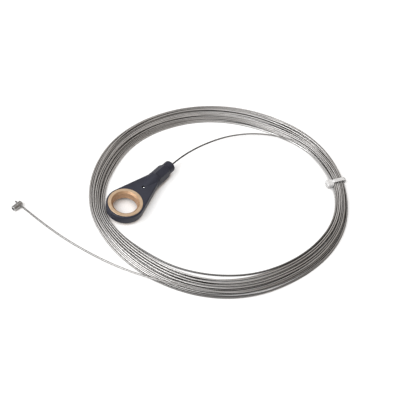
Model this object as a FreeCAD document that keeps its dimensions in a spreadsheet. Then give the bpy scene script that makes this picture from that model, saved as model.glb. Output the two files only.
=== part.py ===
import FreeCAD, Part
import math
import os
import Sketcher

# Measuring rope of a draw-wire length sensor: a swivelling eye with a bush, a coil of wire rope with a tie,
# and a clamped nipple on the free end. Origin in the middle of the eye's bore, +X along the neck towards the
# rope, +Z along the bore. Lengths in millimetres, angles in degrees.

doc = FreeCAD.newDocument("measuring_rope")
sheet = doc.addObject("Spreadsheet::Sheet", "sizes")

DIMENSIONS = {
    # Bush and eye
    "bore_radius": 10.0,
    "bush_wall": 4.0,
    "bush_length": 8.6,
    "bush_chamfer": 1.4,
    "bush_edge": 0.25,
    "seat_clearance": 0.03,
    "ring_wall": 1.4,
    "ring_height": 8.0,
    "ring_round": 1.1,
    "taper_length": 21.2,
    "taper_half_width": 5.3,
    "neck_radius": 6.5,
    "neck_length": 1.4,
    "neck_blend_offset": 2.1,
    "neck_blend_radius": 3.2,
    "neck_overlap": 2.1,
    "neck_edge": 0.45,
    "neck_wall": 2.0,
    "cavity_wall": 5.2,
    "pilot_clearance": 0.4,
    "shank_clearance": 0.05,
    "sight_hole_offset": 1.7,
    "sight_hole_radius": 1.25,
    # Gland nut
    "nut_shank_length": 5.0,
    "collar_length": 13.4,
    "collar_flats": 11.0,
    "collar_bevel": 2.2,
    "collar_bevel_drop": 0.35,
    "nose_length": 7.2,
    "nose_radius": 5.1,
    "nose_round": 1.6,
    "nose_wall": 4.4,
    "nose_hole_clearance": 0.425,
    "stem_clearance": 0.08,
    # Swivel ferrule and washer
    "ferrule_gap": 2.0,
    "ferrule_tail_radius": 2.2,
    "tail_bevel": 0.8,
    "tail_bevel_drop": 0.55,
    "flange_play": 0.1,
    "flange_gap": 0.3,
    "flange_thickness": 1.5,
    "flange_clearance": 0.4,
    "stem_radius": 2.25,
    "stem_gap": 0.3,
    "ferrule_edge": 0.3,
    "socket_depth": 8.0,
    "socket_clearance": 0.025,
    "washer_thickness": 0.9,
    "washer_play": 0.35,
    "washer_clearance": 0.25,
    # Rope and coil
    "rope_radius": 0.675,
    "nose_exit": 4.6,
    "coil_long": 109.5,
    "coil_flattening": 10.5,
    "bundle_end": 12.4,
    "bundle_side": 18.0,
    "bundle_shift": 2.4,
    "coil_height": 3.6,
    "coil_round": 1.2,
    "eye_inset": 11.8,
    "eye_clearance": 1.5,
    # Cable tie
    "tie_slack": 0.2,
    "strap_thickness": 1.0,
    "strap_width": 3.0,
    "tie_head_length": 5.8,
    "tie_head_height": 4.3,
    "tie_head_lift": 1.0,
    "tie_head_side": 1.7,
    "tie_head_round": 1.3,
    "tie_slot_clearance": 0.1,
    "tie_slot_depth": 1.2,
    # End nipple and its screw
    "nipple_radius": 2.25,
    "nipple_length": 8.8,
    "nipple_edge": 0.4,
    "rope_hole_offset": 2.1,
    "rope_hole_clearance": 0.1,
    "nipple_run": 11.0,
    "tail_stub": 2.0,
    "screw_radius": 1.25,
    "screw_clearance": 0.05,
    "screw_recess": 0.3,
    "screw_edge": 0.3,
    "drive_radius": 0.75,
    "drive_depth": 1.6,
}

# Directions in plan, from +X towards +Y.
COIL_BEARING = -35.6
COIL_TURN = -32.0
TIE_BEARING = -38.8
TIE_TURN = -30.0
NIPPLE_TURN = -2.0
HEX_FIRST_CORNER = 20.0

FULL_TURN = 360.0
HALF_TURN = FULL_TURN / 2
RIGHT_ANGLE = FULL_TURN / 4
HEX_SIDES = 6
TINY = 1e-4
XY, XZ, YZ = "XY_Plane", "XZ_Plane", "YZ_Plane"
UP = FreeCAD.Vector(0, 0, 1)


class Size:
    """A length that knows both its number and the sheet formula it is bound with."""

    def __init__(self, value, formula):
        self.value = value
        self.formula = formula

    def __add__(self, other):
        other = size(other)
        return Size(self.value + other.value, "(%s + %s)" % (self.formula, other.formula))

    def __sub__(self, other):
        other = size(other)
        return Size(self.value - other.value, "(%s - %s)" % (self.formula, other.formula))

    def __mul__(self, other):
        other = size(other)
        return Size(self.value * other.value, "(%s * %s)" % (self.formula, other.formula))

    def __truediv__(self, other):
        other = size(other)
        return Size(self.value / other.value, "(%s / %s)" % (self.formula, other.formula))

    def __neg__(self):
        return Size(-self.value, "(0 - %s)" % self.formula)


def size(value):
    return value if isinstance(value, Size) else Size(float(value), "(%.9f)" % value)


S = {}
for row, (name, number) in enumerate(DIMENSIONS.items(), start=1):
    sheet.set("A%d" % row, name)
    sheet.set("B%d" % row, "%.4f" % number)
    sheet.setAlias("B%d" % row, name)
    S[name] = Size(number, "sizes.%s" % name)
doc.recompute()
ZERO = size(0)

# Sizes that follow from others, from the bore outwards and then along the neck.
bush_radius = S["bore_radius"] + S["bush_wall"]
ring_radius = bush_radius + S["ring_wall"]
taper_end = ring_radius + S["taper_length"]
neck_end = taper_end + S["neck_length"]
cavity_start = ring_radius + S["cavity_wall"]
shank_radius = S["neck_radius"] - S["neck_wall"]
shank_bore = shank_radius + S["shank_clearance"]
nut_inner_end = neck_end - S["nut_shank_length"]
collar_end = neck_end + S["collar_length"]
nose_end = collar_end + S["nose_length"]
stem_end = nose_end - S["nose_wall"]
socket_bottom = stem_end - S["socket_depth"]
washer_start = nut_inner_end - S["washer_thickness"]
flange_end = washer_start - S["flange_play"]
flange_start = flange_end - S["flange_thickness"]


def new_body(label):
    body = doc.addObject("PartDesign::Body", label)
    body.Label = label
    return body


def new_sketch(body, plane_role, name):
    """An empty sketch on one of the body's own origin planes."""
    plane = [item for item in body.Origin.OriginFeatures if item.Role == plane_role][0]
    sketch = body.newObject("Sketcher::SketchObject", name)
    sketch.AttachmentSupport = [(plane, "")]
    sketch.MapMode = "FlatFace"
    return sketch


def hold(sketch, kind, *where):
    """Adds a dimension whose last argument is a Size and binds it to the sheet."""
    *place, length = where
    index = sketch.addConstraint(Sketcher.Constraint(kind, *place, length.value))
    sketch.setExpression("Constraints[%d]" % index, length.formula)


def hold_point(sketch, geometry, point, x, y):
    """Holds a point of the geometry from the sketch's origin."""
    hold(sketch, "DistanceX", -1, 1, geometry, point, size(x))
    hold(sketch, "DistanceY", -1, 1, geometry, point, size(y))


def outline(sketch, corners):
    """A closed outline of straight lines, each corner held from the origin by two bound dimensions."""
    points = [FreeCAD.Vector(size(a).value, size(b).value, 0) for a, b in corners]
    first = sketch.GeometryCount
    count = len(points)
    for index, point in enumerate(points):
        sketch.addGeometry(Part.LineSegment(point, points[(index + 1) % count]), False)
    for index in range(count):
        following = first + (index + 1) % count
        sketch.addConstraint(Sketcher.Constraint("Coincident", first + index, 2, following, 1))
    for index, (a, b) in enumerate(corners):
        hold_point(sketch, first + index, 1, a, b)


def disc(sketch, x, y, radius):
    """A circle held by its middle and radius."""
    middle = FreeCAD.Vector(size(x).value, size(y).value, 0)
    index = sketch.addGeometry(Part.Circle(middle, UP, radius.value), False)
    hold_point(sketch, index, 3, x, y)
    hold(sketch, "Radius", index, radius)


def turned(body, name, corners, kind="PartDesign::Revolution"):
    """Turns a half section, drawn with the axis as its first coordinate, about the body's X axis."""
    sketch = new_sketch(body, XZ, name + "_section")
    outline(sketch, corners)
    feature = body.newObject(kind, name)
    feature.Profile = sketch
    feature.ReferenceAxis = (sketch, ["H_Axis"])
    feature.Angle = FULL_TURN
    body.Tip = feature
    doc.recompute()
    return feature


def grooved(body, name, corners):
    return turned(body, name, corners, kind="PartDesign::Groove")


def padded(body, name, sketch, length, both_ways=False):
    feature = body.newObject("PartDesign::Pad", name)
    feature.Profile = sketch
    feature.Midplane = both_ways
    feature.setExpression("Length", length.formula)
    body.Tip = feature
    doc.recompute()
    return feature


def pocketed(body, name, sketch, length, both_ways=False, upward=False):
    before = body.Shape.Volume
    feature = body.newObject("PartDesign::Pocket", name)
    feature.Profile = sketch
    feature.Midplane = both_ways
    feature.Reversed = upward
    feature.setExpression("Length", length.formula)
    body.Tip = feature
    doc.recompute()
    if body.Shape.Volume >= before:
        raise RuntimeError("nothing cut by " + name)
    return feature


def eased(body, name, base, chosen, radius, kind="PartDesign::Fillet"):
    """Rounds or chamfers the edges of the base that the test picks."""
    names = ["Edge%d" % number for number, edge in enumerate(base.Shape.Edges, start=1) if chosen(edge)]
    if not names:
        raise RuntimeError("no edges found for " + name)
    feature = body.newObject(kind, name)
    feature.Base = (base, names)
    feature.setExpression("Radius" if kind.endswith("Fillet") else "Size", radius.formula)
    body.Tip = feature
    doc.recompute()
    return feature


def level(edge):
    return edge.BoundBox.ZLength < TINY


def circle_of(radius):
    return lambda edge: level(edge) and hasattr(edge.Curve, "Radius") \
        and abs(edge.Curve.Radius - radius.value) < TINY


# Eye body: a moulded plate in the outline of ring and taper, with the round neck turned onto it, then the
# bush seat, the stepped cavity for nut and ferrule, and the sight hole.
eye = new_body("eye_body")
plan = new_sketch(eye, XY, "eye_plan")
reach = math.hypot(taper_end.value, S["taper_half_width"].value)
touch = math.atan2(S["taper_half_width"].value, taper_end.value) + math.acos(ring_radius.value / reach)
upper = FreeCAD.Vector(math.cos(touch), math.sin(touch), 0) * ring_radius.value
lower = FreeCAD.Vector(upper.x, -upper.y, 0)
upper_end = FreeCAD.Vector(taper_end.value, S["taper_half_width"].value, 0)
lower_end = FreeCAD.Vector(upper_end.x, -upper_end.y, 0)
ring_circle = Part.Circle(FreeCAD.Vector(0, 0, 0), UP, ring_radius.value)
ring = plan.addGeometry(Part.ArcOfCircle(ring_circle, touch, 2 * math.pi - touch), False)
low_side = plan.addGeometry(Part.LineSegment(lower, lower_end), False)
end_side = plan.addGeometry(Part.LineSegment(lower_end, upper_end), False)
high_side = plan.addGeometry(Part.LineSegment(upper_end, upper), False)
plan.addConstraint(Sketcher.Constraint("Coincident", ring, 3, -1, 1))
plan.addConstraint(Sketcher.Constraint("Tangent", ring, 2, low_side, 1))
plan.addConstraint(Sketcher.Constraint("Coincident", low_side, 2, end_side, 1))
plan.addConstraint(Sketcher.Constraint("Coincident", end_side, 2, high_side, 1))
plan.addConstraint(Sketcher.Constraint("Tangent", high_side, 2, ring, 1))
plan.addConstraint(Sketcher.Constraint("Symmetric", end_side, 1, end_side, 2, -1))
hold(plan, "Radius", ring, ring_radius)
hold(plan, "DistanceX", -1, 1, end_side, 1, taper_end)
hold(plan, "DistanceY", end_side, 1, end_side, 2, S["taper_half_width"] * 2)
plate = padded(eye, "plate", plan, S["ring_height"], both_ways=True)


def plate_rim(edge):
    at_end = abs(edge.BoundBox.XMin - taper_end.value) < TINY
    return level(edge) and not at_end


eased(eye, "plate_round", plate, plate_rim, S["ring_round"])
blend_start = ring_radius + S["neck_blend_offset"]
turned(eye, "neck", [
    (blend_start, ZERO),
    (blend_start, S["neck_blend_radius"]),
    (taper_end - S["neck_overlap"], S["neck_radius"]),
    (neck_end - S["neck_edge"], S["neck_radius"]),
    (neck_end, S["neck_radius"] - S["neck_edge"]),
    (neck_end, ZERO)])
seat = new_sketch(eye, XY, "seat_circle")
disc(seat, ZERO, ZERO, bush_radius + S["seat_clearance"])
pocketed(eye, "bush_seat", seat, S["ring_height"] * 2, both_ways=True)
pilot_radius = S["ferrule_tail_radius"] + S["pilot_clearance"]
shank_seat = flange_start - S["flange_gap"]
grooved(eye, "cavity", [
    (cavity_start, ZERO),
    (cavity_start, pilot_radius),
    (shank_seat, pilot_radius),
    (shank_seat, shank_bore),
    (neck_end, shank_bore),
    (neck_end, ZERO)])
sight = new_sketch(eye, XY, "sight_circle")
disc(sight, cavity_start + S["sight_hole_offset"], ZERO, S["sight_hole_radius"])
pocketed(eye, "sight_hole", sight, S["ring_height"], upward=True)

# Bush: a plain turned sleeve, its bore edges chamfered for the pin.
bush = new_body("eye_bush")
bush_plan = new_sketch(bush, XY, "bush_plan")
disc(bush_plan, ZERO, ZERO, bush_radius)
disc(bush_plan, ZERO, ZERO, S["bore_radius"])
sleeve = padded(bush, "sleeve", bush_plan, S["bush_length"], both_ways=True)
lead_in = eased(
    bush, "bore_lead_in", sleeve, circle_of(S["bore_radius"]), S["bush_chamfer"], "PartDesign::Chamfer")
eased(bush, "outer_edge", lead_in, circle_of(bush_radius), S["bush_edge"], "PartDesign::Chamfer")

# Gland nut: shank inside the neck, hexagon collar against the neck's end, round nose around the rope.
nut = new_body("gland_nut")
collar_corner = S["collar_flats"] / math.sqrt(3)
core = turned(nut, "nut_core", [
    (nut_inner_end, ZERO),
    (nut_inner_end, shank_radius),
    (neck_end, shank_radius),
    (neck_end, S["nose_radius"]),
    (nose_end, S["nose_radius"]),
    (nose_end, ZERO)])


def nose_rim(edge):
    return hasattr(edge.Curve, "Radius") and abs(edge.BoundBox.XMin - nose_end.value) < TINY


def hexagon_corners(corner_radius, first_corner):
    angles = [math.radians(first_corner + side * FULL_TURN / HEX_SIDES) for side in range(HEX_SIDES)]
    return [(corner_radius * math.cos(angle), corner_radius * math.sin(angle)) for angle in angles]


eased(nut, "nose_round", core, nose_rim, S["nose_round"])
hexagon = new_sketch(nut, YZ, "hexagon")
hexagon.setExpression("AttachmentOffset.Base.z", neck_end.formula)
outline(hexagon, hexagon_corners(collar_corner, HEX_FIRST_CORNER))
padded(nut, "collar", hexagon, S["collar_length"])
bevel_outside = collar_corner + S["collar_bevel_drop"]
grooved(nut, "collar_bevel", [
    (collar_end, S["collar_flats"] / 2 - S["collar_bevel_drop"]),
    (collar_end, bevel_outside),
    (collar_end - S["collar_bevel"], bevel_outside)])
grooved(nut, "collar_edge", [
    (neck_end, collar_corner - S["neck_edge"]),
    (neck_end, bevel_outside),
    (neck_end + S["neck_edge"], bevel_outside)])
stem_bore = S["stem_radius"] + S["stem_clearance"]
nose_hole = S["rope_radius"] + S["nose_hole_clearance"]
grooved(nut, "nut_bore", [
    (nut_inner_end, ZERO),
    (nut_inner_end, stem_bore),
    (stem_end + S["stem_gap"], stem_bore),
    (stem_end + S["stem_gap"], nose_hole),
    (nose_end, nose_hole),
    (nose_end, ZERO)])

# Swivel ferrule: turned stem with a flange, drilled for the rope's end. The bevel of its tail shows through
# the sight hole.
ferrule = new_body("swivel_ferrule")
ferrule_start = cavity_start + S["ferrule_gap"]
flange_radius = shank_radius - S["flange_clearance"]
turned(ferrule, "ferrule_turned", [
    (ferrule_start, ZERO),
    (ferrule_start, S["ferrule_tail_radius"] - S["tail_bevel_drop"]),
    (ferrule_start + S["tail_bevel"], S["ferrule_tail_radius"]),
    (flange_start, S["ferrule_tail_radius"]),
    (flange_start, flange_radius),
    (flange_end, flange_radius),
    (flange_end, S["stem_radius"]),
    (stem_end - S["ferrule_edge"], S["stem_radius"]),
    (stem_end, S["stem_radius"] - S["ferrule_edge"]),
    (stem_end, ZERO)])
socket_radius = S["rope_radius"] + S["socket_clearance"]
grooved(ferrule, "rope_socket", [
    (socket_bottom, ZERO),
    (socket_bottom, socket_radius),
    (stem_end, socket_radius),
    (stem_end, ZERO)])

# Thrust washer: lies against the nut's inner end and carries the ferrule's flange.
washer = new_body("thrust_washer")
washer_inner = S["stem_radius"] + S["washer_play"]
washer_outer = shank_radius - S["washer_clearance"]
turned(washer, "washer_ring", [
    (washer_start, washer_inner),
    (washer_start, washer_outer),
    (nut_inner_end, washer_outer),
    (nut_inner_end, washer_inner)])

# Rope coil: one flat oval ring of the bundle's outer shape. Its plan is two ovals of four tangent arcs, the
# inner one nearer to the tie, and its inner side gives way to the eye, which lies against it.
coil = new_body("rope_coil")
OVAL_END_SHARE = 0.9
coil_short = S["coil_long"] - S["coil_flattening"]
coil_inner_long = S["coil_long"] - S["bundle_end"]
coil_inner_short = coil_short - S["bundle_side"]
coil_distance = coil_inner_long - S["bundle_shift"] - S["eye_inset"]
floor = -S["neck_radius"]
coil_bottom = floor + S["strap_thickness"] + S["tie_slack"]


def oval(sketch, middle, long_radius, short_radius):
    """An oval of two end arcs and two side arcs, centred on the sketch's X axis."""
    end = short_radius * OVAL_END_SHARE
    end_middle = long_radius - end
    side = (end_middle * end_middle + short_radius * short_radius - end * end) / ((short_radius - end) * 2)
    side_middle = side - short_radius
    joint = math.atan2(side_middle.value, end_middle.value)
    arcs = (
        (end_middle.value, 0, end, -joint, joint),
        (0, -side_middle.value, side, joint, math.pi - joint),
        (-end_middle.value, 0, end, math.pi - joint, math.pi + joint),
        (0, side_middle.value, side, math.pi + joint, 2 * math.pi - joint))
    placed = []
    for x, y, radius, start, stop in arcs:
        circle = Part.Circle(FreeCAD.Vector(middle.value + x, y, 0), UP, radius.value)
        placed.append(sketch.addGeometry(Part.ArcOfCircle(circle, start, stop), False))
    for arc, following in zip(placed, placed[1:] + placed[:1]):
        sketch.addConstraint(Sketcher.Constraint("Tangent", arc, 2, following, 1))
    near_end, first_side, far_end, second_side = placed
    hold_point(sketch, near_end, 3, middle + end_middle, ZERO)
    hold_point(sketch, far_end, 3, middle - end_middle, ZERO)
    for arc in (near_end, far_end):
        hold(sketch, "Radius", arc, end)
    for arc in (first_side, second_side):
        hold(sketch, "Radius", arc, side)


coil_plan = new_sketch(coil, XY, "coil_plan")
oval(coil_plan, ZERO, S["coil_long"], coil_short)
oval(coil_plan, S["bundle_shift"], coil_inner_long, coil_inner_short)
coil_ring = padded(coil, "coil_ring", coil_plan, S["coil_height"])
eased(coil, "coil_round", coil_ring, level, S["coil_round"])
eye_direction = math.radians(HALF_TURN + COIL_BEARING - COIL_TURN)
eye_room = new_sketch(coil, XY, "eye_room_circle")
disc(
    eye_room, coil_distance * math.cos(eye_direction), coil_distance * math.sin(eye_direction),
    ring_radius + S["eye_clearance"])
pocketed(coil, "eye_room", eye_room, S["coil_height"] * 2, both_ways=True)
coil_bearing = math.radians(COIL_BEARING)
coil_middle = FreeCAD.Vector(
    coil_distance.value * math.cos(coil_bearing), coil_distance.value * math.sin(coil_bearing), 0)
coil.Placement = FreeCAD.Placement(
    coil_middle + UP * coil_bottom.value, FreeCAD.Rotation(UP, COIL_TURN))
doc.recompute()


def on_coil(along, across, height):
    """A point given by shares of the coil's half axes and of the bore's height above the floor."""
    turn = FreeCAD.Rotation(UP, COIL_TURN)
    plan_point = FreeCAD.Vector(along * S["coil_long"].value, across * coil_short.value, 0)
    return coil_middle + turn.multVec(plan_point) + UP * floor.value * (1 - height)


# Rope lead and tail: plain tubes along hand-set points, one from the ferrule into the coil, the other from
# the coil through the nipple.
wire_bearing = math.radians(NIPPLE_TURN + RIGHT_ANGLE)
across_barrel = FreeCAD.Vector(math.cos(wire_bearing), math.sin(wire_bearing), 0)
along_barrel = FreeCAD.Vector(across_barrel.y, -across_barrel.x, 0)
nipple_middle = on_coil(-1.498, 0.290, 0) + UP * S["nipple_radius"].value
rope_hole = nipple_middle + along_barrel * S["rope_hole_offset"].value
LEAD_ROUTE = [
    FreeCAD.Vector(socket_bottom.value, 0, 0),
    FreeCAD.Vector(nose_end.value + S["nose_exit"].value, 0, 0),
    on_coil(-0.103, 0.483, 0.88),
    on_coil(0.076, 0.548, 0.77),
    on_coil(0.274, 0.583, 0.67),
    on_coil(0.492, 0.563, 0.57),
    on_coil(0.689, 0.473, 0.49),
    on_coil(0.844, 0.327, 0.44),
    on_coil(0.908, 0.225, 0.42),
]
TAIL_ROUTE = [
    on_coil(-0.601, -0.746, 0.31),
    on_coil(-0.752, -0.640, 0.25),
    on_coil(-0.914, -0.502, 0.17),
    on_coil(-1.070, -0.334, 0.13),
    on_coil(-1.232, -0.123, 0.13),
    on_coil(-1.355, 0.073, 0.20),
    rope_hole - across_barrel * S["nipple_run"].value,
    rope_hole + across_barrel * (S["nipple_radius"].value + S["tail_stub"].value),
]
ARC_SHARE = 0.45
VOLUME_TOLERANCE = 0.01


def rope_tube(label, route):
    """A solid tube along straight runs joined by tangent arcs."""
    radius = S["rope_radius"].value
    edges = []
    bends = []
    start = route[0]
    for before, corner, after in zip(route, route[1:], route[2:]):
        arriving = (corner - before).normalize()
        leaving = (after - corner).normalize()
        turn = arriving.getAngle(leaving)
        setback = ARC_SHARE * min((corner - before).Length, (after - corner).Length)
        bend = setback / math.tan(turn / 2)
        arc_start = corner - arriving * setback
        arc_end = corner + leaving * setback
        to_middle = (leaving - arriving).normalize()
        arc_middle = corner + to_middle * (math.hypot(bend, setback) - bend)
        edges.append(Part.LineSegment(start, arc_start).toShape())
        edges.append(Part.Arc(arc_start, arc_middle, arc_end).toShape())
        bends.append(bend)
        start = arc_end
    edges.append(Part.LineSegment(start, route[-1]).toShape())
    path = Part.Wire(edges)
    section = Part.Wire(Part.makeCircle(radius, route[0], route[1] - route[0]))
    tube = path.makePipeShell([section], True, True)
    expected = math.pi * radius ** 2 * path.Length
    if abs(tube.Volume - expected) > VOLUME_TOLERANCE * expected:
        raise RuntimeError("tube volume off for " + label)
    feature = doc.addObject("Part::Feature", label)
    feature.Label = label
    feature.Shape = tube
    feature.Placement = FreeCAD.Placement()
    print(label, "length %.1f mm" % path.Length, "bend radii", ["%.0f" % bend for bend in bends])
    print(label, "route", ["(%.1f, %.1f, %.1f)" % tuple(point) for point in route])
    return feature


lead = rope_tube("rope_lead", LEAD_ROUTE)
tail = rope_tube("rope_tail", TAIL_ROUTE)

# Cable tie: strap loop bent round the coil's rounded edges, with its head on the inner side, one moulding.
# It crosses the bundle askew, so the loop's width is taken from the coil at both edges of the strap.
tie = new_body("cable_tie")
tie_bearing = math.radians(TIE_BEARING)
tie_turn = math.radians(TIE_TURN)
coil_outward = FreeCAD.Vector(math.cos(tie_bearing), math.sin(tie_bearing), 0)
along_tie = FreeCAD.Vector(math.cos(tie_turn), math.sin(tie_turn), 0)
across_tie = UP.cross(along_tie)
tie_level = coil_middle + UP * (coil_bottom.value + S["coil_height"].value / 2)
tie_ray = Part.makeLine(tie_level, tie_level + coil_outward * S["coil_long"].value * 2)
bundle_middle = tie_ray.common(coil.Shape).Edges[0].CenterOfMass
half_strap = S["strap_width"] / 2


def bundle_ends(sideways):
    """How far the coil reaches along the tie, both ways from the bundle's middle."""
    start = bundle_middle + across_tie * sideways
    tie_reach = along_tie * S["bundle_side"].value
    chord = Part.makeLine(start - tie_reach, start + tie_reach).common(coil.Shape).Edges[0]
    return [(vertex.Point - bundle_middle).dot(along_tie) for vertex in chord.Vertexes]


ends = bundle_ends(half_strap.value) + bundle_ends(-half_strap.value)
bundle_width = size(max(ends) - min(ends))
tie_middle = bundle_middle + along_tie * ((max(ends) + min(ends)) / 2)
loop_half_width = bundle_width / 2 + S["tie_slack"]
loop_half_height = S["coil_height"] / 2 + S["tie_slack"]


def rectangle(sketch, left, low, right, high):
    outline(sketch, [(left, low), (right, low), (right, high), (left, high)])


loop = new_sketch(tie, XZ, "loop_section")
outer_half_width = loop_half_width + S["strap_thickness"]
outer_half_height = loop_half_height + S["strap_thickness"]
rectangle(loop, -outer_half_width, -outer_half_height, outer_half_width, outer_half_height)
rectangle(loop, -loop_half_width, -loop_half_height, loop_half_width, loop_half_height)
strap = padded(tie, "strap", loop, S["strap_width"], both_ways=True)


def loop_corner(half_width):
    """Picks the four bends of the loop at one side of the strap."""
    def chosen(edge):
        box = edge.BoundBox
        across_strap = box.XLength < TINY and box.ZLength < TINY
        return across_strap and abs(abs(box.XMin) - half_width.value) < TINY
    return chosen


inner_bends = eased(tie, "inner_bends", strap, loop_corner(loop_half_width), S["coil_round"])
outer_bend = S["coil_round"] + S["strap_thickness"]
eased(tie, "outer_bends", inner_bends, loop_corner(outer_half_width), outer_bend)
head_near = -loop_half_width - S["strap_thickness"] / 2
head_far = head_near - S["tie_head_length"]
head_low = S["tie_head_lift"] - outer_half_height
head_high = head_low + S["tie_head_height"]
head = new_sketch(tie, XZ, "head_section")
rectangle(head, head_far, head_low, head_near, head_high)
head_width = S["strap_width"] + S["tie_head_side"] * 2
head_block = padded(tie, "head", head, head_width, both_ways=True)


def head_edge(edge):
    return edge.BoundBox.XMin < head_far.value + TINY


eased(tie, "head_round", head_block, head_edge, S["tie_head_round"])
slot = new_sketch(tie, YZ, "slot_mouth")
slot.setExpression("AttachmentOffset.Base.z", head_far.formula)
slot_middle = (head_low + head_high) / 2
slot_half_width = half_strap + S["tie_slot_clearance"]
slot_half_height = S["strap_thickness"] / 2 + S["tie_slot_clearance"]
rectangle(
    slot, -slot_half_width, slot_middle - slot_half_height, slot_half_width, slot_middle + slot_half_height)
pocketed(tie, "slot", slot, S["tie_slot_depth"], upward=True)
tie.Placement = FreeCAD.Placement(tie_middle, FreeCAD.Rotation(UP, TIE_TURN))

# End nipple: turned barrel, cross-drilled for the rope and tapped from one end for the clamp screw.
nipple = new_body("end_nipple")
half_barrel = S["nipple_length"] / 2
turned(nipple, "barrel", [
    (-half_barrel, ZERO),
    (-half_barrel, S["nipple_radius"] - S["nipple_edge"]),
    (S["nipple_edge"] - half_barrel, S["nipple_radius"]),
    (half_barrel - S["nipple_edge"], S["nipple_radius"]),
    (half_barrel, S["nipple_radius"] - S["nipple_edge"]),
    (half_barrel, ZERO)])
screw_bore = S["screw_radius"] + S["screw_clearance"]
grooved(nipple, "screw_hole", [
    (-half_barrel, ZERO),
    (-half_barrel, screw_bore),
    (S["rope_hole_offset"], screw_bore),
    (S["rope_hole_offset"], ZERO)])
cross = new_sketch(nipple, XZ, "rope_hole_circle")
disc(cross, S["rope_hole_offset"], ZERO, S["rope_radius"] + S["rope_hole_clearance"])
pocketed(nipple, "rope_hole", cross, S["nipple_length"], both_ways=True)
nipple.Placement = FreeCAD.Placement(nipple_middle, FreeCAD.Rotation(UP, NIPPLE_TURN))

# Clamp screw: grub screw with a hexagon socket, its tip on the rope.
screw = new_body("nipple_screw")
screw_outer = S["screw_recess"] - half_barrel
screw_tip = S["rope_hole_offset"] - S["rope_radius"]
turned(screw, "screw_turned", [
    (screw_outer, ZERO),
    (screw_outer, S["screw_radius"] - S["screw_edge"]),
    (screw_outer + S["screw_edge"], S["screw_radius"]),
    (screw_tip - S["screw_edge"], S["screw_radius"]),
    (screw_tip, S["screw_radius"] - S["screw_edge"]),
    (screw_tip, ZERO)])
drive = new_sketch(screw, YZ, "drive_socket")
drive.setExpression("AttachmentOffset.Base.z", screw_outer.formula)
outline(drive, hexagon_corners(S["drive_radius"], 0))
pocketed(screw, "drive", drive, S["drive_depth"], upward=True)
screw.Placement = nipple.Placement

doc.recompute()
parts = [eye, bush, nut, ferrule, washer, lead, coil, tail, tie, nipple, screw]
for item in doc.Objects:
    if "Invalid" in item.State or "Error" in item.State:
        raise RuntimeError("feature failed: " + item.Name)
for part in parts:
    if part.Shape.isNull() or not part.Shape.isValid():
        raise RuntimeError("bad shape: " + part.Label)
os.makedirs("parts", exist_ok=True)
for part in parts:
    part.Shape.exportStep("parts/%s.step" % part.Label)
    print(part.Label, "%.2f mm3" % part.Shape.Volume, len(part.Shape.Solids), "solid")
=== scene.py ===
import math

import bpy
import numpy as np
from mathutils import Matrix, Vector


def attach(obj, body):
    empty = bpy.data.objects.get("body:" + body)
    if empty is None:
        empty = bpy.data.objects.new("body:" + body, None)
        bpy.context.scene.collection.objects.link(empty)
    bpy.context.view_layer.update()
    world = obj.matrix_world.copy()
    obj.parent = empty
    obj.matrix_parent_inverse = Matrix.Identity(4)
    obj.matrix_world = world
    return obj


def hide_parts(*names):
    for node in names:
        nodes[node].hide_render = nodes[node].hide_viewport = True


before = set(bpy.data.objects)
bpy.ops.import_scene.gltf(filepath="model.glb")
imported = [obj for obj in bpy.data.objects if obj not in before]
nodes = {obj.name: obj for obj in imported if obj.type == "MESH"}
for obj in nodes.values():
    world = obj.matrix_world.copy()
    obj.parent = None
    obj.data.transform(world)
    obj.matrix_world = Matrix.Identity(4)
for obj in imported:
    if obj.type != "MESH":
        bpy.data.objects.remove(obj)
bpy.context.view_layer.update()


# The eye: a ring and a tapered neck in one piece of black engineering plastic, injection moulded
# in a spark-eroded tool that leaves a fine satin grain. It carries the bush and turns on the rope.

def feed(tree, node, inputs):
    """Joins each input of a node to the socket it is given, or sets it to the value it is given."""
    for name, value in inputs.items():
        if isinstance(value, bpy.types.NodeSocket):
            tree.links.new(value, node.inputs[name])
        else:
            node.inputs[name].default_value = value


def put(tree, kind, inputs=None, **settings):
    """Adds a node, with its settings and what feeds it."""
    made = tree.nodes.new(kind)
    for name, value in settings.items():
        setattr(made, name, value)
    feed(tree, made, inputs or {})
    return made


def new_finish(name):
    """A new material with its tree, its shader and the coordinates of its piece."""
    made = bpy.data.materials.new(name)
    made.use_nodes = True
    tree = made.node_tree
    place = put(tree, "ShaderNodeTexCoord").outputs["Object"]
    return made, tree, tree.nodes["Principled BSDF"], place


def mottle(tree, place, scale, detail, rough=0.5):
    """Soft random patches, from 0 to 1; scale counts them per metre."""
    made = put(tree, "ShaderNodeTexNoise", {"Vector": place, "Scale": scale, "Detail": detail,
                                            "Roughness": rough})
    return made.outputs["Fac"]


def ramp(tree, share, *stops):
    """A colour ramp over share, with stops of (position, red, green, blue)."""
    made = put(tree, "ShaderNodeValToRGB", {"Fac": share})
    scale = made.color_ramp.elements
    while len(scale) < len(stops):
        scale.new(0.5)
    for element, (position, *colour) in zip(scale, stops):
        element.position = position
        element.color = (*colour, 1.0)
    return made.outputs["Color"]


def span(tree, share, low, high):
    """A share from 0 to 1 spread from low to high."""
    made = put(tree, "ShaderNodeMapRange", {"Value": share, "To Min": low, "To Max": high})
    return made.outputs["Result"]


def relief(tree, height, strength, depth, under=None):
    """A surface raised by height, to a depth in metres, on the surface that is under it."""
    made = put(tree, "ShaderNodeBump", {"Strength": strength, "Distance": depth, "Height": height})
    if under is not None:
        feed(tree, made, {"Normal": under})
    return made.outputs["Normal"]


def dress(piece, material):
    """Gives a piece one material over all its faces."""
    piece.data.materials.clear()
    piece.data.materials.append(material)


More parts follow.
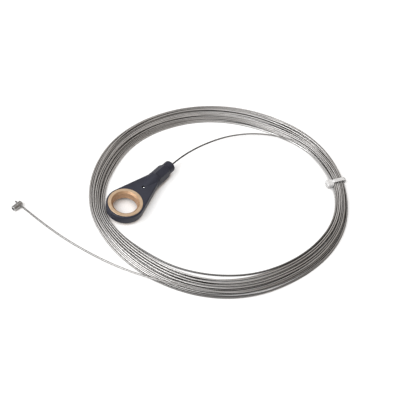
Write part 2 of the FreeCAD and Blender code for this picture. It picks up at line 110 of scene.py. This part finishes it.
def moulded_black(name, cloud_size, edge_round):
    """Black moulded plastic: cloudy tone, satin grain, edges paler as handling wear and as painted
    highlight.
    """
    made, tree, shader, place = new_finish(name)
    cloud = mottle(tree, place, scale=1.0 / cloud_size, detail=3.0)
    grain = mottle(tree, place, scale=2600.0, detail=4.0, rough=0.6)
    rounded = put(tree, "ShaderNodeBevel", {"Radius": edge_round}, samples=8).outputs["Normal"]
    flat = put(tree, "ShaderNodeNewGeometry").outputs["Normal"]
    turn = put(tree, "ShaderNodeVectorMath", {0: rounded, 1: flat}, operation="DOT_PRODUCT").outputs["Value"]
    edge = put(tree, "ShaderNodeMapRange", {"Value": turn, "From Min": 0.995,
                                            "From Max": 0.86}).outputs["Result"]
    tone = ramp(tree, cloud, (0.25, 0.0195, 0.021, 0.032), (0.75, 0.029, 0.031, 0.046))
    # Paler edges: partly handling wear, partly a painted highlight where the rounded edges catch the light.
    pale_edge_wear_and_highlight = (0.058, 0.060, 0.078, 1.0)
    tone_with_pale_edges = put(tree, "ShaderNodeMix", {"Factor": edge, "A": tone, "B": pale_edge_wear_and_highlight}, data_type="RGBA")
    feed(tree, shader, {"Base Color": tone_with_pale_edges.outputs["Result"],
                        "Roughness": span(tree, grain, low=0.38, high=0.56),
                        "Specular IOR Level": 0.30,
                        "Normal": relief(tree, grain, strength=0.25, depth=0.00005, under=rounded)})
    return made


dress(nodes["eye_body"], moulded_black("eye_satin_black", cloud_size=0.012, edge_round=0.0005))


# The bush: a plain sleeve of sintered bronze pressed into the ring, so that the eye runs on a pin. Its face
# is turned, which leaves fine rings over the open pores, and its bore is finished to size by burnishing.
# The bore's deeper tone is partly that burnish and partly painted shade inside the hole.

# Metres from the bush's axis: burnish and painted shade are full at the bore, gone where the face begins.
BORE_EDGE, FACE_EDGE = 0.0113, 0.0116
# Tone of the bore: partly burnish, partly painted shade inside the hole.
BURNISH_AND_SHADE_TONE = (0.80, 0.68, 0.60, 1.0)


def darkened_by(tree, colour, darkening, share):
    """A colour multiplied by a darkening colour, by a share of its strength; used for pits, burnish and
    painted shade.
    """
    made = put(tree, "ShaderNodeMix", {"Factor": share, "A": colour, "B": darkening},
               data_type="RGBA", blend_type="MULTIPLY")
    return made.outputs["Result"]


bush_finish, tree, shader, place = new_finish("sintered_bronze")
pores = mottle(tree, place, scale=3200.0, detail=3.0, rough=0.7)
patches = mottle(tree, place, scale=260.0, detail=4.0)
facing = put(tree, "ShaderNodeTexWave", {"Vector": place, "Scale": 700.0, "Distortion": 1.2, "Detail": 2.0},
             wave_type="RINGS", rings_direction="Z").outputs["Fac"]
flat_place = put(tree, "ShaderNodeVectorMath", {0: place, 1: (1.0, 1.0, 0.0)}, operation="MULTIPLY")
from_axis = put(tree, "ShaderNodeVectorMath", {0: flat_place.outputs["Vector"]}, operation="LENGTH")
burnish_and_shade_share = put(tree, "ShaderNodeMapRange", {"Value": from_axis.outputs["Value"], "From Min": FACE_EDGE,
                                             "From Max": BORE_EDGE}).outputs["Result"]
bronze = ramp(tree, patches, (0.28, 0.50, 0.355, 0.23), (0.52, 0.58, 0.430, 0.29), (0.78, 0.65, 0.50, 0.35))
pitted = ramp(tree, pores, (0.30, 0.62, 0.58, 0.54), (0.45, 1.0, 1.0, 1.0))
bronze = darkened_by(tree, bronze, pitted, share=0.6)
pits = relief(tree, pores, strength=0.35, depth=0.00004)
# The bore wall is darkened: burnish with painted shade.
feed(tree, shader, {"Base Color": darkened_by(tree, bronze, BURNISH_AND_SHADE_TONE, share=burnish_and_shade_share),
                    "Metallic": 0.55,
                    "Roughness": span(tree, patches, low=0.42, high=0.60),
                    "Normal": relief(tree, facing, strength=0.15, depth=0.00003, under=pits)})
dress(nodes["eye_bush"], bush_finish)


# The swivel: a ferrule crimped on the rope and a thrust washer behind it, both turned stainless steel.
# They sit inside the neck and let the eye turn without twisting the rope.

# One band of a wave pattern of scale 1 is this wide, in metres.
WAVE_WIDTH = 0.31


def turned_steel(name, axis, dark, light, groove_size):
    """Lathe-turned steel: fine grooves across the axis and a slightly uneven sheen."""
    made, tree, shader, place = new_finish(name)
    grooves = put(tree, "ShaderNodeTexWave", {"Vector": place, "Scale": WAVE_WIDTH / groove_size,
                                              "Distortion": 2.0, "Detail": 3.0, "Detail Scale": 2.0},
                  wave_type="BANDS", bands_direction=axis).outputs["Fac"]
    smear = mottle(tree, place, scale=420.0, detail=4.0)
    feed(tree, shader, {"Base Color": ramp(tree, smear, (0.3, *dark), (0.7, *light)),
                        "Metallic": 1.0,
                        "Roughness": span(tree, grooves, low=0.28, high=0.46),
                        "Normal": relief(tree, grooves, strength=0.3, depth=0.00003)})
    return made


swivel_steel = turned_steel("swivel_steel", axis="X", dark=(0.56, 0.56, 0.54), light=(0.74, 0.73, 0.70),
                            groove_size=0.00022)
for piece in ("swivel_ferrule", "thrust_washer"):
    dress(nodes[piece], swivel_steel)


# The gland nut: a hexagon collar with a round nose, moulded in the same black plastic as the eye.
# It is screwed into the neck, keeps the swivel in and guides the rope out through its nose.

dress(nodes["gland_nut"], moulded_black("nut_satin_black", cloud_size=0.007, edge_round=0.0004))


# The measuring rope: 1.35 mm stainless wire rope of six strands, wound for dispatch into fifteen turns
# and a part turn that lie flat on the table. Its lead rises into the swivel and its tail lies loose.

# Places and sizes of the route are in millimetres.
MM = 0.001
ROPE_ACROSS = 1.35
FLOOR_HEIGHT = -6.5
LEAD_ROUTE = [(46.2, 0.0, 0.0), (63.2, 0.0, 0.0), (83.2, -1.7, -0.8), (103.2, -6.7, -1.5),
              (123.4, -15.2, -2.1), (142.6, -29.5, -2.8), (156.2, -48.5, -3.3), (162.9, -69.8, -3.6)]
TAIL_ROUTE = [(-28.7, -76.6, -2.5), (-37.2, -59.0, -2.9), (-44.2, -37.6, -4.9), (-49.5, -14.2, -5.7),
              (-53.5, 12.9, -5.7), (-54.6, 36.5, -5.2), (-54.8, 51.9, -4.2), (-54.2, 67.2, -4.2)]
COIL_MIDDLE = (67.406, -48.258)
COIL_BEARING = -35.6
FULL_TURNS = 15
LAST_ROWS = 8
# Innermost and outermost rope at each row, 15 degrees apart, going round with the rope from the tie.
BAND = [(99.2, 108.5), (97.8, 106.9), (93.6, 105.0), (87.8, 101.6), (83.4, 98.4), (81.2, 97.2),
        (81.9, 98.4), (83.4, 99.9), (85.4, 101.2), (87.6, 102.8), (89.4, 104.8), (94.4, 107.4),
        (100.4, 109.6), (95.8, 108.6), (91.2, 106.6), (88.6, 104.5), (85.8, 102.0), (83.4, 100.3),
        (82.8, 100.2), (83.0, 101.4), (84.2, 103.4), (86.8, 106.2), (92.4, 109.4), (97.8, 110.0)]
# Where each turn starts across the band: 0 is its inner edge and 1 its outer edge.
TURN_STARTS = [0.0, 0.16, 0.08, 0.30, 0.14, 0.50, 0.22, 0.62, 0.40, 0.74, 0.50, 0.84, 0.66, 0.95,
               1.0, 0.80, 1.0]
# The strap of the tie lifts the rows it passes under and holds them down from above.
TIE_LIFT = {0: 1.7, 1: 1.4, 2: 0.5, 22: 0.4, 23: 1.2}
TIE_ROOF = {0: -2.2, 1: -2.2, 2: -2.6, 23: -2.6}
PILE_ROOF = -3.0
# The last rows climb over the turns beside them, where the tail leaves the coil.
TAIL_LIFT = [0.6, 1.6, 2.7]
# The first turn springs inwards here, and is left out of the band where it does so by more than the least.
LOOSE_ROOM, LOOSE_ROW, LOOSE_ROWS, LOOSE_LEAST = 7.6, 7.9, 1.9, 0.6
# On the near side the turns gather in bunches, on the far side they sink side by side.
BUNCHES, BUNCHED_ROW, BUNCHED_ROWS, BUNCH_PULL = 4, 4.6, 3.2, 1.2
SPREAD_ROW, SPREAD_ROWS = 14.6, 8.6
# Across the band a turn wanders a little from its own place, which counts less than an even share.
WANDER, WANDERS_A_TURN = 0.05, 4
OWN_PLACE, EVEN_PLACE = 0.2, 0.8
# While they settle, the turns stay smooth, are held to their places, sink, and push each other apart.
WISH_STIFFNESS, ROPE_STIFFNESS = 0.5, 0.22
HOLD, HOLD_LOST = 0.20, 0.18
SINK, SINK_ADDED = 0.02, 0.06
TURN_ROOM, LEAST_RISE = 1.03, 1e-3
PUSH, CALM_PUSH, CROSSING_PUSH = 0.5, 0.3, 0.25


def smoothed(line, share):
    """Moves each value towards the middle of its neighbours, ends kept."""
    line = line.copy()
    line[1:-1] += share * (0.5 * (line[:-2] + line[2:]) - line[1:-1])
    return line


def settled_turns(seed, passes, calm_passes):
    """Lets the turns sink and push each other aside until they lie in the band; radius and height by row."""
    rows = len(BAND)
    count = FULL_TURNS * rows + LAST_ROWS
    step = np.arange(count)
    turn, row = step // rows, step % rows
    starts = np.array(TURN_STARTS)
    share = starts[turn] + (starts[turn + 1] - starts[turn]) * row / rows
    drift = np.random.default_rng(seed).uniform(-WANDER, WANDER, (FULL_TURNS + 2) * WANDERS_A_TURN)
    share = share + np.interp(step / rows * WANDERS_A_TURN, np.arange(len(drift)), drift)
    inner, outer = np.array(BAND)[row].T
    spring_in = np.where(turn == 0, LOOSE_ROOM * np.exp(-((row - LOOSE_ROW) / LOOSE_ROWS) ** 2), 0.0)
    loose = spring_in > LOOSE_LEAST
    for each in range(rows):
        here = np.where((row == each) & ~loose)[0]
        rank = np.argsort(np.argsort(share[here])) / (len(here) - 1)
        even = OWN_PLACE * share[here] + EVEN_PLACE * rank
        pull = BUNCH_PULL * math.exp(-((each - BUNCHED_ROW) / BUNCHED_ROWS) ** 2)
        even -= pull * np.sin(2 * math.pi * BUNCHES * even) / (2 * math.pi * BUNCHES)
        share[here] = np.clip(even, 0.0, 1.0)
    nearest = inner - spring_in
    wide = outer - inner
    wish = np.where(loose, nearest, inner + share * wide)
    for _ in range(2):
        wish = np.clip(inner + smoothed((wish - inner) / wide, WISH_STIFFNESS) * wide, nearest, outer)
    lift = np.array([TIE_LIFT.get(each, 0.0) for each in range(rows)])[row]
    bed = FLOOR_HEIGHT + ROPE_ACROSS / 2 + lift
    bed[-len(TAIL_LIFT):] += TAIL_LIFT
    roof = np.array([TIE_ROOF.get(each, PILE_ROOF) for each in range(rows)])[row]
    spread = np.exp(-((row - SPREAD_ROW) / SPREAD_ROWS) ** 4)
    hold, sink = HOLD - HOLD_LOST * spread, SINK + SINK_ADDED * spread
    room = TURN_ROOM * ROPE_ACROSS
    radius, height = wish.copy(), bed + turn % 2
    for done in range(passes):
        calm = done >= passes - calm_passes
        if not calm:
            radius = inner + smoothed((radius - inner) / wide, ROPE_STIFFNESS) * wide
            radius += hold * (wish - radius)
            height = smoothed(height, ROPE_STIFFNESS) - sink
        for behind in range(rows, count, rows):
            ahead = count - behind
            aside, above = radius[:ahead] - radius[behind:], height[:ahead] - height[behind:]
            above = np.where(np.abs(above) < LEAST_RISE, LEAST_RISE, above)
            apart = np.hypot(aside, above)
            push = np.clip(room - apart, 0.0, None) * (CALM_PUSH if calm else PUSH) / apart
            radius[:ahead] += push * aside
            radius[behind:] -= push * aside
            height[:ahead] += push * above
            height[behind:] -= push * above
            # two turns that change sides between rows pass over each other, not through
            aside, above = radius[:ahead] - radius[behind:], height[:ahead] - height[behind:]
            over = 0.5 * (above[:-1] + above[1:])
            swap = aside[:-1] * aside[1:] < 0
            raise_by = np.where(swap, np.clip(room - np.abs(over), 0.0, None), 0.0)
            raise_by *= np.where(over < 0, -CROSSING_PUSH, CROSSING_PUSH)
            rise = np.zeros(ahead)
            rise[:-1] += raise_by
            rise[1:] += raise_by
            height[:ahead] += rise
            height[behind:] -= rise
        radius, height = np.clip(radius, nearest, outer), np.clip(height, bed, roof)
    return radius, height


row_angle = 2 * math.pi / len(BAND)
# The spline runs inside its control points, so they stand out by this much.
stand_out = 4 / (3 + math.cos(row_angle))
route = list(LEAD_ROUTE)
for step, (radius, height) in enumerate(zip(*settled_turns(seed=1, passes=500, calm_passes=80))):
    bearing = math.radians(COIL_BEARING) - row_angle * step
    route.append((COIL_MIDDLE[0] + stand_out * radius * math.cos(bearing),
                  COIL_MIDDLE[1] + stand_out * radius * math.sin(bearing), height))
route += TAIL_ROUTE

line = bpy.data.curves.new("rope_line", "CURVE")
line.dimensions = "3D"
spline = line.splines.new("NURBS")
spline.points.add(len(route) - 1)
for point, place_mm in zip(spline.points, route):
    point.co = (*(MM * value for value in place_mm), 1.0)
spline.order_u = 3
spline.use_endpoint_u = True
spline.resolution_u = 21
line_object = bpy.data.objects.new("rope_line", line)
bpy.context.scene.collection.objects.link(line_object)
bpy.context.view_layer.update()
rope_mesh = bpy.data.meshes.new_from_object(line_object)
bpy.data.objects.remove(line_object)
rope_points = [vertex.co.copy() for vertex in rope_mesh.vertices]
rope_length = sum((b - a).length for a, b in zip(rope_points, rope_points[1:]))

# Tone along the rope, from 0 at the swivel to 1 at the nipple: darker stretches, partly handling wear
# and partly painted shade, on the lead, the loose first turn, the outermost turns and the tail.
HANDLING_AND_SHADE = [(0.0, 0.03), (0.0108, 0.02), (0.0134, 0.80), (0.022, 0.90), (0.028, 0.24), (0.044, 0.26),
           (0.052, 1.0), (0.835, 1.0), (0.842, 0.35), (0.852, 0.40), (0.858, 1.0), (0.885, 1.0),
           (0.892, 0.60), (0.905, 0.35), (0.914, 0.40), (0.920, 1.0), (0.962, 1.0), (0.968, 0.45),
           (0.974, 0.50), (0.979, 0.95), (0.985, 0.80), (0.9895, 0.62), (0.9935, 0.46), (0.997, 0.38),
           (1.0, 0.26)]
# How far off, in metres, a neighbouring rope still darkens the gap beside it, as painted shade.
GAP_REACH = 0.004

rope_finish, tree, shader, place = new_finish("drawn_steel_rope")
run = put(tree, "ShaderNodeAttribute", attribute_name="run").outputs["Fac"]
around = put(tree, "ShaderNodeAttribute", attribute_name="around").outputs["Fac"]
along = put(tree, "ShaderNodeCombineXYZ", {"X": run}).outputs["Vector"]
stretch = mottle(tree, along, scale=4.5, detail=3.0, rough=0.55)
hue = mottle(tree, place, scale=60.0, detail=3.0)
warm = ramp(tree, stretch, (0.34, 0.31, 0.292, 0.276), (0.50, 0.565, 0.550, 0.536),
            (0.66, 0.815, 0.805, 0.795))
cool = ramp(tree, stretch, (0.34, 0.30, 0.296, 0.294), (0.50, 0.55, 0.546, 0.542),
            (0.66, 0.80, 0.798, 0.796))
steel = put(tree, "ShaderNodeMix", {"Factor": hue, "A": warm, "B": cool}, data_type="RGBA").outputs["Result"]
run_share = put(tree, "ShaderNodeMath", {0: run, 1: rope_length}, operation="DIVIDE").outputs[0]
handling_and_shade_tone = put(tree, "ShaderNodeFloatCurve", {"Value": run_share})
knots = handling_and_shade_tone.mapping.curves[0].points
for share, tone in HANDLING_AND_SHADE:
    if share in (0.0, 1.0):
        knot = knots[int(share)]
        knot.location = (share, tone)
    else:
        knot = knots.new(share, tone)
    knot.handle_type = "VECTOR"
handling_and_shade_tone.mapping.update()
handling_and_shade_tone = handling_and_shade_tone.outputs["Value"]
# Painted shade: the steel is darkened where neighbouring ropes close it in, in the gaps between the turns.
hidden = put(tree, "ShaderNodeAmbientOcclusion", {"Distance": GAP_REACH}, samples=8).outputs["AO"]
gap_painted_shade = put(tree, "ShaderNodeMapRange", {"Value": hidden, "From Min": 0.14, "From Max": 0.72},
              interpolation_type="SMOOTHSTEP").outputs["Result"]
shade = put(tree, "ShaderNodeMath", {0: handling_and_shade_tone, 1: gap_painted_shade}, operation="MULTIPLY").outputs[0]
steel = darkened_by(tree, steel, shade, share=1.0)
# Painted shade in the grooves between the strands.
valley = ramp(tree, around, (0.0, 0.45, 0.44, 0.43), (0.55, 1.0, 1.0, 1.0))
# The shine falls with the handling-and-shade tone, so the darkened stretches are duller too.
metal_share_with_painted_shade = put(tree, "ShaderNodeMapRange", {"Value": handling_and_shade_tone, "From Max": 0.2, "To Min": 0.08}).outputs["Result"]
wires = put(tree, "ShaderNodeTexWave", {"Vector": along, "Scale": 620.0, "Distortion": 0.6},
            wave_type="BANDS", bands_direction="X").outputs["Fac"]
# Base colour: steel with painted shade in the gaps and the strand grooves.
feed(tree, shader, {"Base Color": darkened_by(tree, steel, valley, share=0.10),
                    "Metallic": metal_share_with_painted_shade,
                    "Specular Tint": (0.40, 0.39, 0.38, 1.0),
                    "Roughness": span(tree, stretch, low=0.52, high=0.38),
                    "Normal": relief(tree, wires, strength=0.08, depth=0.00003)})

# The crowns of the strands stand this share of the rope's thickness from its middle.
CROWN = 0.515
rope_lay = bpy.data.node_groups.new("rope_lay", "GeometryNodeTree")
face = rope_lay.interface
face.new_socket("Geometry", in_out="INPUT", socket_type="NodeSocketGeometry")
sizes = {}
for name, kind, value in (("Rope radius", "NodeSocketFloat", MM * ROPE_ACROSS * CROWN),
                          ("Strand valley", "NodeSocketFloat", 0.965),
                          ("Lay length", "NodeSocketFloat", 0.0102),
                          ("Strands", "NodeSocketInt", 6)):
    sizes[name] = (face.new_socket(name, in_out="INPUT", socket_type=kind).identifier, value)
face.new_socket("Geometry", in_out="OUTPUT", socket_type="NodeSocketGeometry")
given = put(rope_lay, "NodeGroupInput").outputs
rail = put(rope_lay, "GeometryNodeMeshToCurve", {"Mesh": given["Geometry"]}).outputs["Curve"]
so_far = put(rope_lay, "GeometryNodeSplineParameter").outputs["Length"]
lays = put(rope_lay, "ShaderNodeMath", {0: so_far, 1: given["Lay length"]}, operation="DIVIDE").outputs[0]
twist = put(rope_lay, "ShaderNodeMath", {0: lays, 1: 2 * math.pi}, operation="MULTIPLY").outputs[0]
rail = put(rope_lay, "GeometryNodeStoreNamedAttribute", {"Geometry": rail, "Name": "run", "Value": so_far},
           data_type="FLOAT", domain="POINT").outputs["Geometry"]
rail = put(rope_lay, "GeometryNodeSetCurveTilt", {"Curve": rail, "Tilt": twist}).outputs["Curve"]
corners = put(rope_lay, "ShaderNodeMath", {0: given["Strands"], 1: 2.0}, operation="MULTIPLY").outputs[0]
section = put(rope_lay, "GeometryNodeCurvePrimitiveCircle",
              {"Resolution": corners, "Radius": given["Rope radius"]}, mode="RADIUS").outputs["Curve"]
index = put(rope_lay, "GeometryNodeInputIndex").outputs["Index"]
crown = put(rope_lay, "ShaderNodeMath", {0: index, 1: 2.0}, operation="MODULO").outputs[0]
pull = put(rope_lay, "ShaderNodeMapRange", {"Value": crown, "To Min": given["Strand valley"], "To Max": 1.0})
spot = put(rope_lay, "GeometryNodeInputPosition").outputs["Position"]
lobed = put(rope_lay, "ShaderNodeVectorMath", {0: spot, "Scale": pull.outputs["Result"]}, operation="SCALE")
section = put(rope_lay, "GeometryNodeStoreNamedAttribute",
              {"Geometry": section, "Name": "around", "Value": crown},
              data_type="FLOAT", domain="POINT").outputs["Geometry"]
section = put(rope_lay, "GeometryNodeSetPosition",
              {"Geometry": section, "Position": lobed.outputs["Vector"]}).outputs["Geometry"]
laid = put(rope_lay, "GeometryNodeCurveToMesh",
           {"Curve": rail, "Profile Curve": section, "Fill Caps": True}).outputs["Mesh"]
laid = put(rope_lay, "GeometryNodeSetShadeSmooth", {"Geometry": laid}).outputs["Geometry"]
laid = put(rope_lay, "GeometryNodeRealizeInstances", {"Geometry": laid}).outputs["Geometry"]
laid = put(rope_lay, "GeometryNodeSetMaterial", {"Geometry": laid, "Material": rope_finish})
put(rope_lay, "NodeGroupOutput", {"Geometry": laid.outputs["Geometry"]})


def grown(mesh, tree, values, name):
    """Runs a tree of nodes on a mesh and gives the result as a plain piece."""
    seedling = bpy.data.objects.new(name + "_start", mesh)
    bpy.context.scene.collection.objects.link(seedling)
    modifier = seedling.modifiers.new(name, "NODES")
    modifier.node_group = tree
    for identifier, value in values.values():
        modifier[identifier] = value
    bpy.context.view_layer.update()
    worked_out = bpy.context.evaluated_depsgraph_get()
    ready = seedling.evaluated_get(worked_out)
    result = bpy.data.meshes.new_from_object(ready, preserve_all_data_layers=True, depsgraph=worked_out)
    bpy.data.objects.remove(seedling)
    piece = bpy.data.objects.new(name, result)
    bpy.context.scene.collection.objects.link(piece)
    return piece


rope = grown(rope_mesh, rope_lay, sizes, "measuring_rope")
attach(rope, "rope")
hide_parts("rope_lead", "rope_coil", "rope_tail")


# The tie: a small natural nylon cable tie pulled tight round the bundle, its rounded head on the inner side.
# Moulded unfilled, so that light passes some way into it.

tie_finish, tree, shader, place = new_finish("natural_nylon")
milk = mottle(tree, place, scale=500.0, detail=3.0)
feed(tree, shader, {"Base Color": ramp(tree, milk, (0.3, 0.56, 0.558, 0.555), (0.7, 0.64, 0.638, 0.635)),
                    "Subsurface Weight": 0.5,
                    "Subsurface Radius": (1.0, 1.0, 1.0),
                    "Subsurface Scale": 0.0012,
                    "Roughness": span(tree, milk, low=0.34, high=0.48),
                    "Normal": relief(tree, milk, strength=0.2, depth=0.0001)})
dress(nodes["cable_tie"], tie_finish)


# The end nipple: a turned steel barrel on the free end of the rope, which hooks into the winding drum.
# A small blackened grub screw pinches the rope in it.

dress(nodes["end_nipple"], turned_steel("nipple_steel", axis="Y", dark=(0.30, 0.30, 0.30),
                                        light=(0.50, 0.50, 0.495), groove_size=0.00018))
dress(nodes["nipple_screw"], turned_steel("screw_black", axis="Z", dark=(0.07, 0.07, 0.075),
                                          light=(0.15, 0.15, 0.155), groove_size=0.00016))


# The table: a plain white sheet that runs on past the picture, in a room that is light towards the lamp
# and dim elsewhere. The sheet glows white where it is seen; in the holes and gaps its glow is turned down
# as painted shade, and tinted warm there as painted light thrown back from the metal round it.

FLOOR_HALF = 12.0
# How far off, in metres, something still shuts out the room, and how open a spot is when it starts to shine
# and when it is plain white; less open spots get painted shade.
HOLE_REACH = 0.016
SHUT, OPEN = 0.36, 0.54
DIM_SHINE, WHITE_SHINE = 0.02, 0.42

floor_mesh = bpy.data.meshes.new("table_top")
floor_mesh.from_pydata([(x * FLOOR_HALF, y * FLOOR_HALF, MM * FLOOR_HEIGHT)
                        for x, y in ((-1, -1), (1, -1), (1, 1), (-1, 1))], [], [(0, 1, 2, 3)])
floor = bpy.data.objects.new("table_top", floor_mesh)
bpy.context.scene.collection.objects.link(floor)


def seen_white(tree):
    """1 for what the camera sees, straight or by way of metal and glass, and 0 for light on the object."""
    path = put(tree, "ShaderNodeLightPath").outputs
    seen = path["Is Camera Ray"]
    for name in ("Is Glossy Ray", "Is Transmission Ray"):
        seen = put(tree, "ShaderNodeMath", {0: seen, 1: path[name]}, operation="MAXIMUM").outputs[0]
    return seen


floor_finish, tree, shader, place = new_finish("white_paper")
fibre = mottle(tree, place, scale=400.0, detail=4.0)
# Painted shade on the sheet: its glow dims where it is closed in, in the bore and the gaps of the coil.
clear = put(tree, "ShaderNodeAmbientOcclusion", {"Distance": HOLE_REACH}, samples=16).outputs["AO"]
glow_less_painted_shade = put(tree, "ShaderNodeMapRange", {"Value": clear, "From Min": SHUT, "From Max": OPEN,
                                            "To Min": DIM_SHINE, "To Max": WHITE_SHINE}).outputs["Result"]
shine = put(tree, "ShaderNodeMath", {0: seen_white(tree), 1: glow_less_painted_shade}, operation="MULTIPLY").outputs[0]
# Closed-in spots glow warm: painted light thrown back from the bronze.
feed(tree, shader, {"Base Color": ramp(tree, fibre, (0.3, 0.61, 0.61, 0.61), (0.7, 0.63, 0.63, 0.63)),
                    "Roughness": 0.9,
                    "Specular IOR Level": 0.0,
                    "Emission Color": ramp(tree, clear, (0.44, 1.0, 0.87, 0.78), (0.56, 1.0, 1.0, 1.0)),
                    "Emission Strength": shine})
dress(floor, floor_finish)

LAMP_SIDE = Vector((-0.62, 0.19, 0.74)).normalized()
DIM_WALL, LIGHT_WALL = (0.314, 0.271, 0.234), (0.90, 0.90, 0.91)
room = bpy.data.worlds.new("white_room")
bpy.context.scene.world = room
room.use_nodes = True
walls = room.node_tree
outlook = put(walls, "ShaderNodeTexCoord").outputs["Generated"]
facing_lamp = put(walls, "ShaderNodeVectorMath", {0: outlook, 1: LAMP_SIDE}, operation="DOT_PRODUCT")
glow = ramp(walls, facing_lamp.outputs["Value"], (0.1, *DIM_WALL), (1.0, *LIGHT_WALL))
glow.node.color_ramp.interpolation = "EASE"
feed(walls, walls.nodes["Background"], {"Color": glow})


# The light: a soft square lamp high at the picture's left, and a faint one behind the coil that lifts the
# tone of the far ropes.

def soft_lamp(name, towards, away, across, power):
    """A square lamp that looks at the coil's middle."""
    made = bpy.data.lights.new(name, "AREA")
    made.size = across
    made.energy = power
    lamp = bpy.data.objects.new(name, made)
    bpy.context.scene.collection.objects.link(lamp)
    direction = Vector(towards).normalized()
    lamp.location = Vector((MM * COIL_MIDDLE[0], MM * COIL_MIDDLE[1], 0.0)) + away * direction
    lamp.rotation_euler = direction.to_track_quat("Z", "Y").to_euler()


soft_lamp("left_lamp", LAMP_SIDE, away=4.0, across=2.4, power=136.0)
soft_lamp("back_lamp", (0.55, 0.30, 0.78), away=0.9, across=0.7, power=0.9)


# The camera: looks down on the coil from the side of the eye, three quarters of a metre away, and is held
# a little tilted. Its place and lens follow from the outlines of the bush, the coil and the nipple.

AIM = Vector((51.284, -37.962, -6.5)) * MM
DISTANCE = 0.750
ELEVATION, HEADING, ROLL = (math.radians(angle) for angle in (50.992, 27.567, 12.849))
look = Vector((math.cos(ELEVATION) * math.cos(HEADING), math.cos(ELEVATION) * math.sin(HEADING),
               -math.sin(ELEVATION)))
level = Vector((math.sin(HEADING), -math.cos(HEADING), 0.0))
upright = level.cross(look)
picture_right = level * math.cos(ROLL) + upright * math.sin(ROLL)
picture_up = upright * math.cos(ROLL) - level * math.sin(ROLL)
camera_data = bpy.data.cameras.new("camera")
camera_data.sensor_width = 36.0
camera_data.lens = 81.951
camera_data.clip_start = 0.01
camera = bpy.data.objects.new("camera", camera_data)
bpy.context.scene.collection.objects.link(camera)
camera.matrix_world = Matrix.Translation(AIM - DISTANCE * look) @ Matrix(
    (picture_right, picture_up, -look)).transposed().to_4x4()
bpy.context.scene.camera = camera
bpy.context.scene.view_settings.view_transform = "Standard"
